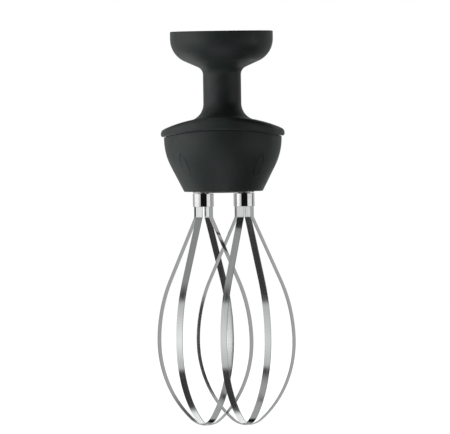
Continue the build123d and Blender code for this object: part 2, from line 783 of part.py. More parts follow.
for position, bush_z in (("upper", layshaft_bush_z), ("lower", layshaft_bottom_z)):
    tube(
        f"layshaft_{position}_bush", layshaft_bush_radius, layshaft_radius + running_clearance,
        bush_z, layshaft_bush_length, layshaft_x, layshaft_y,
    )

# Seal plate under the bell and its screws
plate_hole_radius = bush_radius - seal_plate_lip
with BuildPart() as seal_plate:
    with BuildSketch(Plane.XY.offset(seal_plate_z)):
        SlotCenterToCenter(whisk_spacing, 2 * (spindle_radius + seal_plate_margin))
        with Locations((-axis_x, 0), (axis_x, 0)):
            Circle(plate_hole_radius, mode=Mode.SUBTRACT)
        with GridLocations(seal_screw_pitch, 0, 2, 1):
            Circle(seal_screw_radius + screw_hole_clearance, mode=Mode.SUBTRACT)
    extrude(amount=seal_plate_thickness)
    with BuildSketch(Plane.XY.offset(seal_plate_z)):
        with GridLocations(seal_screw_pitch, 0, 2, 1):
            Circle(seal_screw_head_radius + screw_hole_clearance)
    extrude(amount=seal_screw_head_height, mode=Mode.SUBTRACT)
save(seal_plate, "seal_plate")

with BuildPart() as seal_plate_screws:
    with BuildSketch(Plane.XY.offset(seal_plate_z)):
        with GridLocations(seal_screw_pitch, 0, 2, 1):
            Circle(seal_screw_head_radius)
    extrude(amount=seal_screw_head_height)
    with BuildSketch(Plane.XY.offset(seal_plate_z + seal_screw_head_height)):
        with GridLocations(seal_screw_pitch, 0, 2, 1):
            Circle(seal_screw_radius)
    seal_screw_top_z = bell_bottom_z + seal_screw_length - axial_gap
    extrude(amount=seal_screw_top_z - seal_plate_z - seal_screw_head_height)
save(seal_plate_screws, "seal_plate_screws")


def strip_side(offset, lift):
    """One face of half a whisk strip, from its root to the bottom of the loop."""
    flare = radians(strip_flare)
    root = strip_seat_radius + strip_thickness / 2
    flared = root + strip_bend_radius * (1 - cos(flare)) + strip_flare_length * sin(flare)
    belly_radius = (whisk_radius - flared) / (1 - cos(flare))
    drop = whisk_drop - lift
    side_radius = whisk_radius**2 + (drop - whisk_tip_radius) ** 2 - whisk_tip_radius**2
    side_radius /= 2 * (whisk_radius - whisk_tip_radius)
    side_turn = degrees(atan2(drop - whisk_tip_radius, side_radius - whisk_radius))
    tab = Line((root + offset, strip_top_z), (root + offset, strip_bend_z))
    bend = JernArc(tab @ 1, tab % 1, strip_bend_radius - offset, strip_flare)
    flank = PolarLine(bend @ 1, strip_flare_length, strip_flare - 90)
    belly = JernArc(flank @ 1, flank % 1, belly_radius + offset, -strip_flare)
    side = JernArc(belly @ 1, belly % 1, side_radius + offset, -side_turn)
    tip = JernArc(side @ 1, side % 1, whisk_tip_radius + offset, side_turn - 90)
    return tab @ 0, tip @ 1


def whisk_loop(name, x, turn, lift):
    """One flat strip bent into a loop, both ends seated on the hub."""
    along = (cos(radians(turn)), sin(radians(turn)), 0)
    across = (sin(radians(turn)), -cos(radians(turn)), 0)
    with BuildPart() as loop:
        with BuildSketch(Plane((x, 0, 0), x_dir=along, z_dir=across)):
            with BuildLine():
                outer_top, outer_tip = strip_side(strip_thickness / 2, lift)
                inner_top, inner_tip = strip_side(-strip_thickness / 2, lift)
                Line(outer_top, inner_top)
                Line(outer_tip, inner_tip)
            make_face()
            mirror(about=Plane.YZ)
        extrude(amount=strip_width / 2, both=True)
    save(loop, name)


# Spindles, gears, bushes, seals and whisks of the two sides
gear_phases = {"left": left_gear_phase, "right": right_gear_phase}
for side, side_x, turn in (("left", -axis_x, left_whisk_turn), ("right", axis_x, right_whisk_turn)):
    with BuildPart() as spindle:
        extrude(disc(spindle_radius, ferrule_top_z, side_x), amount=plate_top_z - axial_gap - ferrule_top_z)
        with BuildSketch(Plane((side_x, 0, hub_bottom_z))):
            Circle(ferrule_radius - ferrule_wall - push_clearance)
            flat_side = 2 * (strip_seat_radius - push_clearance)
            Rectangle(flat_side, flat_side, rotation=turn, mode=Mode.INTERSECT)
        extrude(amount=ferrule_top_z - hub_bottom_z)
        with BuildSketch(Plane.YZ.offset(side_x)):
            with Locations((0, whisk_gear_top_z)):
                Circle(drive_pin_radius + push_clearance)
        extrude(amount=spindle_radius, both=True, mode=Mode.SUBTRACT)
    save(spindle, f"{side}_spindle")

    with BuildPart() as whisk_gear:
        extrude(
            gear_face(whisk_teeth, whisk_module, gear_phases[side], side_x, 0, whisk_gear_z),
            amount=whisk_gear_face,
        )
        shaft_hole = disc(spindle_radius + push_clearance, whisk_gear_z, side_x)
        extrude(shaft_hole, amount=whisk_gear_face, mode=Mode.SUBTRACT)
        with BuildSketch(Plane((side_x, 0, whisk_gear_top_z - drive_pin_radius - push_clearance))):
            slot_width = 2 * (drive_pin_radius + push_clearance)
            Rectangle(drive_pin_length + axial_gap, slot_width)
        extrude(amount=drive_pin_radius + push_clearance, mode=Mode.SUBTRACT)
    save(whisk_gear, f"{side}_whisk_gear")

    with BuildPart() as drive_pin:
        with BuildSketch(Plane.YZ.offset(side_x)):
            with Locations((0, whisk_gear_top_z)):
                Circle(drive_pin_radius)
        extrude(amount=drive_pin_length / 2, both=True)
    save(drive_pin, f"{side}_drive_pin")

    flanged_bush(f"{side}_upper_bush", spindle_radius, plate_z, plate_thickness, side_x, upper_bush_z)
    seal_z = bell_bottom_z
    lower_bush_z = seal_z + spindle_seal_height
    flanged_bush(
        f"{side}_lower_bush", spindle_radius, lower_bush_z, boss_top_z - lower_bush_z, side_x, boss_top_z
    )
    lip_seal(f"{side}_spindle_seal", bush_radius, spindle_radius, seal_z, spindle_seal_height, side_x)
    tube(
        f"{side}_thrust_washer", bush_radius, spindle_radius + running_clearance,
        washer_z, washer_thickness, side_x,
    )
    tube(
        f"{side}_ferrule", ferrule_radius, ferrule_radius - ferrule_wall, ferrule_bottom_z, ferrule_length,
        side_x,
    )
    whisk_loop(f"{side}_outer_loop", side_x, turn, 0.0)
    whisk_loop(f"{side}_inner_loop", side_x, turn + 90, strip_thickness + crossing_gap)

# Turns of each shaft for one turn of the left whisk
print("right_whisk", -whisk_teeth / whisk_teeth)
print("layshaft", -whisk_teeth / pinion_teeth)
print("drive_shaft", whisk_teeth / pinion_teeth * lay_teeth / pinion_teeth)
print("layshaft centre", layshaft_x, layshaft_y)
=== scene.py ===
"""Looks of a whisk attachment: moulded housing, polished ferrules, swept strip loops and a soft studio."""

import json
from math import atan2, cos, degrees, pi, radians, sin

import bmesh
import bpy
from mathutils import Matrix, Vector


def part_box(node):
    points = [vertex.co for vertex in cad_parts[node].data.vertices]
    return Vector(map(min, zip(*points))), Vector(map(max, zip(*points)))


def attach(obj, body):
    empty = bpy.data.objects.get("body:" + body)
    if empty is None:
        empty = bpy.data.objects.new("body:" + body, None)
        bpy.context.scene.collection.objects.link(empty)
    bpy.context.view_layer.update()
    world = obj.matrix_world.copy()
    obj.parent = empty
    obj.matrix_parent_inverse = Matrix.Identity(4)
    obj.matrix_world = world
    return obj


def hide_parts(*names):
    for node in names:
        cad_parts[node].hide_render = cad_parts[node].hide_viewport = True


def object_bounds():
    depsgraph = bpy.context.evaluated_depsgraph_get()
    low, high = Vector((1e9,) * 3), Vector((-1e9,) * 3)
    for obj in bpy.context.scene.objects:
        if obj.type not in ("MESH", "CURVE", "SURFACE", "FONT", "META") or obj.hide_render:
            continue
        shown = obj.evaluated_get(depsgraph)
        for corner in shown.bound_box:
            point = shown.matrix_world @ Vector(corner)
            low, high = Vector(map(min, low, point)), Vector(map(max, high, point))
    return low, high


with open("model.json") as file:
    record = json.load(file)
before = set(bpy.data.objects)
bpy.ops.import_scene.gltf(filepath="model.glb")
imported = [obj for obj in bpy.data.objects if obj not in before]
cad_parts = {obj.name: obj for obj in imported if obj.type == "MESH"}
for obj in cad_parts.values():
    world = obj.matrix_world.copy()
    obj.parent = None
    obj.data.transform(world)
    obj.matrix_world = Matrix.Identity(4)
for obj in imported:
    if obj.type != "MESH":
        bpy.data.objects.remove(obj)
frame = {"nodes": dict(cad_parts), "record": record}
cad_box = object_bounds()
nodes = frame["nodes"]
record = frame["record"]
MM = 0.001
FLOAT = "NodeSocketFloat"
VECTOR = "NodeSocketVector"
GEOMETRY = "NodeSocketGeometry"
MATERIAL = "NodeSocketMaterial"

# Sizes shared with the solids, in millimetres and degrees
whisk_axes = {"left": -14.25, "right": 14.25}
whisk_turns = {"left": -27.0, "right": -23.0}
whisk_radius = 36.9
whisk_drop = 58.6
whisk_tip_radius = 17.0
strip_width = 5.1
strip_thickness = 0.5
strip_root = 6.05
strip_top = -113.85
strip_bend = -129.15
strip_bend_radius = 4.0
strip_flare = 25.6
strip_flare_length = 48.0
crossing_lift = 0.8
ferrule_radius = 7.35
ferrule_wall = 0.45
screw_count = 2
screw_head_height = 0.6
screw_shank_radius = 1.25

# Sizes of the looks alone, in millimetres and degrees
housing_merge_distance = 0.001
housing_sharp_angle = 28.0
grain_relief = 0.05
line_relief = 0.02
strip_edge_round = 0.16
strip_edge_steps = 3
strip_sharp_angle = 10.0
strip_bend_steps = 8
strip_belly_steps = 24
strip_side_steps = 24
strip_tip_steps = 16
ferrule_edge_round = 0.15
ferrule_edge_steps = 3
ferrule_segments = 96
screw_sides = 48
screw_chamfer = 0.12
screw_recess_length = 2.5
screw_recess_width = 0.62
screw_recess_depth = 0.42
screw_step_turn = 33.0


# Node helpers

def feed(tree, socket, value):
    """Link a socket from another one, or set a plain value on it."""
    if isinstance(value, bpy.types.NodeSocket):
        tree.links.new(value, socket)
    else:
        socket.default_value = value


def reckon(tree, operation, first, second=0.0, third=0.0):
    """Math node."""
    node = tree.nodes.new("ShaderNodeMath")
    node.operation = operation
    for socket, value in zip(node.inputs, (first, second, third)):
        feed(tree, socket, value)
    return node.outputs[0]


def spread(tree, value, low, high, to_low=0.0, to_high=1.0):
    """Map a range of values onto another one, with a soft start and end."""
    node = tree.nodes.new("ShaderNodeMapRange")
    node.interpolation_type = "SMOOTHSTEP"
    for name, amount in (
        ("Value", value), ("From Min", low), ("From Max", high), ("To Min", to_low), ("To Max", to_high),
    ):
        feed(tree, node.inputs[name], amount)
    return node.outputs["Result"]


def vector_of(tree, x=0.0, y=0.0, z=0.0):
    """Vector from three sockets or plain numbers."""
    node = tree.nodes.new("ShaderNodeCombineXYZ")
    for socket, value in zip(node.inputs, (x, y, z)):
        feed(tree, socket, value)
    return node.outputs[0]


def parts_of(tree, vector):
    """The three numbers of a vector."""
    node = tree.nodes.new("ShaderNodeSeparateXYZ")
    tree.links.new(vector, node.inputs[0])
    return node.outputs


def stretched(tree, vector, scale):
    """Vector scaled by a different factor along each axis."""
    node = tree.nodes.new("ShaderNodeVectorMath")
    node.operation = "MULTIPLY"
    feed(tree, node.inputs[0], vector)
    node.inputs[1].default_value = scale
    return node.outputs[0]


def cloud(tree, vector, scale, detail, roughness=0.5):
    """Noise from 0 to 1; a larger scale makes it finer."""
    node = tree.nodes.new("ShaderNodeTexNoise")
    for name, value in (("Vector", vector), ("Scale", scale), ("Detail", detail), ("Roughness", roughness)):
        feed(tree, node.inputs[name], value)
    return node.outputs[0]


def blend(tree, mask, first, second):
    """Colour between two others; inputs 6 and 7 and output 2 are the node's colour sockets."""
    node = tree.nodes.new("ShaderNodeMix")
    node.data_type = "RGBA"
    feed(tree, node.inputs[0], mask)
    feed(tree, node.inputs[6], first)
    feed(tree, node.inputs[7], second)
    return node.outputs[2]


def raised(tree, height, strength, relief):
    """Normal from a bump height, with its relief in millimetres."""
    node = tree.nodes.new("ShaderNodeBump")
    node.inputs["Strength"].default_value = strength
    node.inputs["Distance"].default_value = relief * MM
    feed(tree, node.inputs["Height"], height)
    return node.outputs["Normal"]


def compared(tree, operation, value, limit):
    """Mask of where a value lies above or below a limit."""
    node = tree.nodes.new("FunctionNodeCompare")
    node.operation = operation
    tree.links.new(value, node.inputs["A"])
    node.inputs["B"].default_value = limit
    return node.outputs["Result"]


def moved(tree, shape, shift=(0.0, 0.0, 0.0), turn=(0.0, 0.0, 0.0)):
    """Geometry shifted and turned."""
    node = tree.nodes.new("GeometryNodeTransform")
    tree.links.new(shape, node.inputs["Geometry"])
    feed(tree, node.inputs["Translation"], shift)
    feed(tree, node.inputs["Rotation"], turn)
    return node.outputs["Geometry"]


def coated(tree, shape, finish):
    """End of a geometry tree: instances made real and the finish set."""
    whole = tree.nodes.new("GeometryNodeRealizeInstances")
    tree.links.new(shape, whole.inputs["Geometry"])
    coat = tree.nodes.new("GeometryNodeSetMaterial")
    tree.links.new(whole.outputs["Geometry"], coat.inputs["Geometry"])
    tree.links.new(finish, coat.inputs["Material"])
    return coat.outputs["Geometry"]


def group_of(name, inputs, outputs):
    """Empty shader group with named sockets, and the sockets inside it."""
    tree = bpy.data.node_groups.new(name, "ShaderNodeTree")
    for label, kind, value in inputs:
        socket = tree.interface.new_socket(label, in_out="INPUT", socket_type=kind)
        socket.default_value = value
    for label in outputs:
        tree.interface.new_socket(label, in_out="OUTPUT", socket_type=FLOAT)
    return tree, tree.nodes.new("NodeGroupInput").outputs, tree.nodes.new("NodeGroupOutput").inputs


def shape_tree(name, source, sizes, result):
    """Empty geometry tree with a source, named sizes and a finish to read, and the sockets inside it."""
    tree = bpy.data.node_groups.new(name, "GeometryNodeTree")
    tree.interface.new_socket(source, in_out="INPUT", socket_type=GEOMETRY)
    for label in sizes:
        tree.interface.new_socket(label, in_out="INPUT", socket_type=FLOAT)
    tree.interface.new_socket("Finish", in_out="INPUT", socket_type=MATERIAL)
    tree.interface.new_socket(result, in_out="OUTPUT", socket_type=GEOMETRY)
    return tree, tree.nodes.new("NodeGroupInput").outputs, tree.nodes.new("NodeGroupOutput").inputs


def placed(tree, group, **values):
    """Group node in a material, with its inputs filled; an underscore stands for a space."""
    node = tree.nodes.new("ShaderNodeGroup")
    node.node_tree = group
    for name, value in values.items():
        feed(tree, node.inputs[name.replace("_", " ")], value)
    return node.outputs


def in_scene(name, data):
    """New object in the scene."""
    piece = bpy.data.objects.new(name, data)
    bpy.context.scene.collection.objects.link(piece)
    return piece


# Surface patterns

def moulded_grain_group():
    """Fine spark-eroded grain, soft colour mottle and rubbed patches of a moulding."""
    tree, given, made = group_of(
        "moulded grain",
        [("Vector", VECTOR, (0, 0, 0)), ("Grain Scale", FLOAT, 2600.0), ("Mottle Scale", FLOAT, 55.0)],
        ["Height", "Mottle", "Rub"],
    )
    grain = cloud(tree, given["Vector"], given["Grain Scale"], detail=3.0)
    mottle = cloud(tree, given["Vector"], given["Mottle Scale"], detail=4.0)
    upward = stretched(tree, given["Vector"], (1.0, 1.0, 0.35))
    rub = cloud(tree, upward, scale=90.0, detail=5.0, roughness=0.65)
    tree.links.new(grain, made["Height"])
    tree.links.new(spread(tree, mottle, low=0.3, high=0.7), made["Mottle"])
    tree.links.new(spread(tree, rub, low=0.48, high=0.75), made["Rub"])
    return tree


def rolled_lines_group():
    """Fine lines along rolled strip, with dull and bright streaks."""
    tree, given, made = group_of(
        "rolled lines",
        [("Along", FLOAT, 0.0), ("Across", FLOAT, 0.0), ("Line Scale", FLOAT, 9000.0)],
        ["Height", "Streak", "Stain"],
    )
    place = vector_of(tree, given["Across"], given["Along"])
    lines = cloud(tree, stretched(tree, place, (1.0, 0.006, 1.0)), given["Line Scale"], detail=3.0)
    streak = cloud(tree, stretched(tree, place, (1.0, 0.02, 1.0)), scale=1500.0, detail=3.0)
    stain = cloud(tree, place, scale=120.0, detail=4.0, roughness=0.6)
    tree.links.new(lines, made["Height"])
    tree.links.new(spread(tree, streak, low=0.3, high=0.7), made["Streak"])
    tree.links.new(spread(tree, stain, low=0.45, high=0.75), made["Stain"])
    return tree


def turned_rings_group():
    """Tool rings round an upright axis, with faint smudges."""
    tree, given, made = group_of(
        "turned rings",
        [("Vector", VECTOR, (0, 0, 0)), ("Ring Scale", FLOAT, 4000.0)],
        ["Height", "Smudge"],
    )
    widened = stretched(tree, given["Vector"], (0.01, 0.01, 1.0))
    rings = cloud(tree, widened, given["Ring Scale"], detail=2.0)
    smudge = cloud(tree, given["Vector"], scale=260.0, detail=4.0, roughness=0.6)
    tree.links.new(rings, made["Height"])
    tree.links.new(spread(tree, smudge, low=0.42, high=0.7), made["Smudge"])
    return tree


moulded_grain = moulded_grain_group()
rolled_lines = rolled_lines_group()
turned_rings = turned_rings_group()


# Finishes

def paint(red, green, blue):
    """Colour with full alpha."""
    return (red, green, blue, 1.0)


def finish_of(name, metallic):
    """New material with a Principled shader."""
    material = bpy.data.materials.new(name)
    material.use_nodes = True
    tree = material.node_tree
    tree.nodes.clear()
    output = tree.nodes.new("ShaderNodeOutputMaterial")
    shader = tree.nodes.new("ShaderNodeBsdfPrincipled")
    shader.inputs["Metallic"].default_value = metallic
    tree.links.new(shader.outputs["BSDF"], output.inputs["Surface"])
    return material, tree, shader.inputs


def object_place(tree):
    """Object coordinates."""
    return tree.nodes.new("ShaderNodeTexCoord").outputs["Object"]


def moulding(name, dark, light, rough_low, rough_high, grain_scale, grain_strength):
    """Moulded plastic or rubber with a fine grain."""
    material, tree, shader = finish_of(name, metallic=0.0)
    grain = placed(tree, moulded_grain, Vector=object_place(tree), Grain_Scale=grain_scale)
    feed(tree, shader["Base Color"], blend(tree, grain["Mottle"], paint(*dark), paint(*light)))
    feed(tree, shader["Roughness"], spread(tree, grain["Rub"], 0.0, 1.0, rough_high, rough_low))
    feed(tree, shader["Normal"], raised(tree, grain["Height"], grain_strength, grain_relief))
    return material


def turned_metal(name, dark, light, rough_low, rough_high, ring_scale, ring_strength):
    """Turned, ground or cast metal with rings round its axis."""
    material, tree, shader = finish_of(name, metallic=1.0)
    rings = placed(tree, turned_rings, Vector=object_place(tree), Ring_Scale=ring_scale)
    feed(tree, shader["Base Color"], blend(tree, rings["Smudge"], paint(*light), paint(*dark)))
    feed(tree, shader["Roughness"], spread(tree, rings["Smudge"], 0.0, 1.0, rough_low, rough_high))
    feed(tree, shader["Normal"], raised(tree, rings["Height"], ring_strength, line_relief))
    return material


def rolled_strip(name, dark, light, rough_low, rough_high, stain_share, line_strength):
    """Rolled steel strip that carries its own length and width as attributes."""
    material, tree, shader = finish_of(name, metallic=1.0)
    along = tree.nodes.new("ShaderNodeAttribute")
    along.attribute_name = "strip_along"
    across = tree.nodes.new("ShaderNodeAttribute")
    across.attribute_name = "strip_across"
    lines = placed(tree, rolled_lines, Along=along.outputs["Fac"], Across=across.outputs["Fac"])
    feed(tree, shader["Base Color"], blend(tree, lines["Streak"], paint(*dark), paint(*light)))
    dulled = reckon(tree, "MULTIPLY_ADD", lines["Stain"], stain_share, lines["Streak"])
    feed(tree, shader["Roughness"], spread(tree, dulled, 0.0, 1.0 + stain_share, rough_low, rough_high))
    feed(tree, shader["Normal"], raised(tree, lines["Height"], line_strength, line_relief))
    return material


# Mouldings: dark and light colour, least and most roughness, grain scale and strength
mouldings = {
    "housing_plastic": ((0.0145, 0.0185, 0.0178), (0.019, 0.0245, 0.0235), 0.38, 0.5, 2600.0, 0.25),
    "seal_rubber": ((0.008, 0.008, 0.009), (0.016, 0.016, 0.017), 0.65, 0.8, 1800.0, 0.3),
    "gear_plastic": ((0.62, 0.6, 0.53), (0.72, 0.7, 0.63), 0.35, 0.5, 1500.0, 0.15),
    "drive_plastic": ((0.5, 0.5, 0.48), (0.6, 0.6, 0.58), 0.35, 0.48, 1500.0, 0.2),
}

# Strips: dark and light colour, least and most roughness, share of the stains, strength of the lines
strips = {
    "strip_steel": ((0.59, 0.605, 0.6), (0.7, 0.715, 0.71), 0.1, 0.2, 0.5, 0.025),
}

# Turned and ground metals: dark and light colour, least and most roughness, ring scale and strength
metals = {
    "ferrule_steel": ((0.66, 0.66, 0.67), (0.76, 0.76, 0.765), 0.03, 0.08, 5000.0, 0.012),
    "shaft_steel": ((0.48, 0.48, 0.49), (0.6, 0.6, 0.61), 0.2, 0.32, 3500.0, 0.12),
    "screw_steel": ((0.4, 0.4, 0.4), (0.52, 0.52, 0.52), 0.28, 0.42, 2500.0, 0.15),
    "plate_aluminium": ((0.66, 0.66, 0.67), (0.78, 0.78, 0.79), 0.3, 0.42, 2200.0, 0.15),
    "bush_bronze": ((0.4, 0.24, 0.1), (0.55, 0.36, 0.17), 0.35, 0.5, 1600.0, 0.2),
    "plate_steel": ((0.6, 0.6, 0.6), (0.72, 0.72, 0.72), 0.42, 0.56, 2600.0, 0.08),
}

finishes = {}
for make, looks in ((moulding, mouldings), (rolled_strip, strips), (turned_metal, metals)):
    for name, look in looks.items():
        finishes[name] = make(name, *look)

slots = {part["node"]: part["material_slot"] for part in record["subparts"]}
for node, slot in slots.items():
    mesh = nodes[node].data
    mesh.materials.clear()
    mesh.materials.append(finishes[slot])
# The seal plate shares a slot with the strips, but is duller than they are
nodes["seal_plate"].data.materials[0] = finishes["plate_steel"]


# Housing: smooth copies of the moulded solids

def smooth_copy(node, body, sharp_angle):
    """Copy of a solid with its triangles joined and its curved faces shaded smooth."""
    mesh = nodes[node].data.copy()
    shape = bmesh.new()
    shape.from_mesh(mesh)
    bmesh.ops.remove_doubles(shape, verts=shape.verts, dist=housing_merge_distance * MM)
    for face in shape.faces:
        face.smooth = True
    for edge in shape.edges:
        faces = edge.link_faces
        edge.smooth = len(faces) == 2 and edge.calc_face_angle() < radians(sharp_angle)
    shape.to_mesh(mesh)
    shape.free()
    if "custom_normal" in mesh.attributes:
        mesh.attributes.remove(mesh.attributes["custom_normal"])
    piece = in_scene(node + "_skin", mesh)
    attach(piece, body)
    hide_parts(node)


for node in ("upper_housing", "lower_housing"):
    smooth_copy(node, "head", housing_sharp_angle)


# Strip loops: a rounded strip swept along its bent line

def arc(start, heading, radius, turn, count):
    """Points along an arc from a start and heading, turning left for a positive turn."""
    side = 1 if turn > 0 else -1
    centre = (start[0] - side * radius * sin(heading), start[1] + side * radius * cos(heading))
    first = heading - side * pi / 2
    return [
        (
            centre[0] + radius * cos(first + radians(turn) * step / count),
            centre[1] + radius * sin(first + radians(turn) * step / count),
        )
        for step in range(1, count + 1)
    ]


def loop_line(lift):
    """Middle line of a loop, as distance from the whisk's axis and height."""
    flare = radians(strip_flare)
    flared = strip_root + strip_bend_radius * (1 - cos(flare)) + strip_flare_length * sin(flare)
    belly_radius = (whisk_radius - flared) / (1 - cos(flare))
    drop = whisk_drop - lift
    side_radius = whisk_radius**2 + (drop - whisk_tip_radius) ** 2 - whisk_tip_radius**2
    side_radius /= 2 * (whisk_radius - whisk_tip_radius)
    side_turn = degrees(atan2(drop - whisk_tip_radius, side_radius - whisk_radius))
    down = -pi / 2
    half = [(strip_root, strip_top), (strip_root, strip_bend)]
    half += arc(half[-1], down, strip_bend_radius, strip_flare, strip_bend_steps)
    run = (half[-1][0] + strip_flare_length * sin(flare), half[-1][1] - strip_flare_length * cos(flare))
    half += [run]
    half += arc(half[-1], down + flare, belly_radius, -strip_flare, strip_belly_steps)
    half += arc(half[-1], down, side_radius, -side_turn, strip_side_steps)
    half += arc(half[-1], down - radians(side_turn), whisk_tip_radius, side_turn - 90, strip_tip_steps)
    other = [(-distance, height) for distance, height in reversed(half[:-1])]
    return half + other


def strip_sweep():
    """Geometry nodes that sweep a strip with rounded edges along a flat line and stand it up."""
    tree, given, made = shape_tree(
        "strip sweep", "Line", ("Width", "Thickness", "Edge Round", "Turn", "Offset"), "Strip"
    )
    link = tree.links.new

    def marked(curve, name, value):
        """Curve whose points keep a value under a name."""
        node = tree.nodes.new("GeometryNodeStoreNamedAttribute")
        node.domain = "POINT"
        node.inputs["Name"].default_value = name
        link(curve, node.inputs["Geometry"])
        link(value, node.inputs["Value"])
        return node.outputs["Geometry"]

    level = tree.nodes.new("GeometryNodeSetCurveNormal")
    level.mode = "Z_UP"
    link(given["Line"], level.inputs["Curve"])
    run = tree.nodes.new("GeometryNodeSplineParameter").outputs["Length"]

    section = tree.nodes.new("GeometryNodeCurvePrimitiveQuadrilateral")
    link(given["Thickness"], section.inputs["Width"])
    link(given["Width"], section.inputs["Height"])
    rounded = tree.nodes.new("GeometryNodeFilletCurve")
    rounded.mode = "POLY"
    rounded.inputs["Count"].default_value = strip_edge_steps
    link(section.outputs["Curve"], rounded.inputs["Curve"])
    link(given["Edge Round"], rounded.inputs["Radius"])
    place = parts_of(tree, tree.nodes.new("GeometryNodeInputPosition").outputs[0])

    sweep = tree.nodes.new("GeometryNodeCurveToMesh")
    sweep.inputs["Fill Caps"].default_value = True
    link(marked(level.outputs["Curve"], "strip_along", run), sweep.inputs["Curve"])
    link(marked(rounded.outputs["Curve"], "strip_across", place["Y"]), sweep.inputs["Profile Curve"])
    smooth = tree.nodes.new("GeometryNodeSetShadeSmooth")
    link(sweep.outputs["Mesh"], smooth.inputs["Geometry"])
    bend = tree.nodes.new("GeometryNodeInputMeshEdgeAngle").outputs["Unsigned Angle"]
    crisp = tree.nodes.new("GeometryNodeSetShadeSmooth")
    crisp.domain = "EDGE"
    crisp.inputs["Shade Smooth"].default_value = False
    link(smooth.outputs["Geometry"], crisp.inputs["Geometry"])
    link(compared(tree, "GREATER_THAN", bend, radians(strip_sharp_angle)), crisp.inputs["Selection"])

    shift = vector_of(tree, x=given["Offset"])
    turn = vector_of(tree, x=pi / 2, z=given["Turn"])
    upright = moved(tree, crisp.outputs["Geometry"], shift, turn)
    link(coated(tree, upright, given["Finish"]), made["Strip"])
    return tree


def made_by(tree, source, name, values):
    """Plain mesh object from a geometry node tree run on a source object."""
    modifier = source.modifiers.new("shape", "NODES")
    modifier.node_group = tree
    keys = {item.name: item.identifier for item in tree.interface.items_tree if item.in_out == "INPUT"}
    for label, value in values.items():
        modifier[keys[label]] = value
    bpy.context.view_layer.update()
    graph = bpy.context.evaluated_depsgraph_get()
    shaped = source.evaluated_get(graph)
    mesh = bpy.data.meshes.new_from_object(shaped, preserve_all_data_layers=True, depsgraph=graph)
    source.modifiers.remove(modifier)
    bpy.data.objects.remove(source)
    return in_scene(name, mesh)


sweep_tree = strip_sweep()


def strip_loop(side, place, lift, turn):
    """One strip loop that stands for the solid one."""
    line = bpy.data.curves.new("strip_line", "CURVE")
    line.dimensions = "3D"
    points = loop_line(lift)
    spline = line.splines.new("POLY")
    spline.points.add(len(points) - 1)
    for point, (distance, height) in zip(spline.points, points):
        point.co = (distance * MM, height * MM, 0, 1)
    source = in_scene("strip_line", line)
    node = f"{side}_{place}_loop"
    piece = made_by(sweep_tree, source, node + "_strip", {
        "Width": strip_width * MM,
        "Thickness": strip_thickness * MM,
        "Edge Round": strip_edge_round * MM,
        "Turn": radians(turn),
        "Offset": whisk_axes[side] * MM,
        "Finish": finishes["strip_steel"],
    })
    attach(piece, f"{side}_whisk")
    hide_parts(node)


for side in ("left", "right"):
    strip_loop(side, "outer", 0.0, whisk_turns[side])
    strip_loop(side, "inner", crossing_lift, whisk_turns[side] + 90)


# Ferrules: turned tubes with rounded ends

def lathe(name, outline, axis_x, segments, finish):
    """Closed ring-shaped mesh from an outline of radius and height, turned about an upright axis."""
    shape = bmesh.new()
    rings = []
    for step in range(segments):
        angle = 2 * pi * step / segments
        rings.append([
            shape.verts.new((axis_x * MM + radius * MM * cos(angle), radius * MM * sin(angle), height * MM))
            for radius, height in outline
        ])
    for step in range(segments):
        here = rings[step]
        after = rings[(step + 1) % segments]
        for index in range(len(outline)):
            following = (index + 1) % len(outline)
            face = shape.faces.new((here[index], after[index], after[following], here[following]))
            face.smooth = True
    bmesh.ops.recalc_face_normals(shape, faces=shape.faces)
    mesh = bpy.data.meshes.new(name)
    shape.to_mesh(mesh)
    shape.free()
    mesh.materials.append(finish)
    return in_scene(name, mesh)


def tube_outline(low, high, outer, inner, edge):
    """Outline of a tube with rounded ends; a brace point near each end keeps the walls flat."""
    brace = 2 * edge
    corners = (
        (outer, outer - edge, high - brace, high - edge, 0),
        (inner, inner + edge, high - brace, high - edge, 90),
        (inner, inner + edge, low + brace, low + edge, 180),
        (outer, outer - edge, low + brace, low + edge, 270),
    )
    outline = []
    for wall, centre_radius, brace_height, centre_height, first in corners:
        bend = []
        for step in range(ferrule_edge_steps + 1):
            angle = radians(first + 90 * step / ferrule_edge_steps)
            bend.append((centre_radius + edge * cos(angle), centre_height + edge * sin(angle)))
        if first in (0, 180):
            outline += [(wall, brace_height)] + bend
        else:
            outline += bend + [(wall, brace_height)]
    return outline


for side, axis_x in whisk_axes.items():
    node = f"{side}_ferrule"
    low, high = (corner.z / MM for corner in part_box(node))
    outline = tube_outline(low, high, ferrule_radius, ferrule_radius - ferrule_wall, ferrule_edge_round)
    piece = lathe(node + "_tube", outline, axis_x, ferrule_segments, finishes["ferrule_steel"])
    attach(piece, f"{side}_whisk")
    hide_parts(node)


# Seal plate screws: chamfered heads with a cross recess, set on a line

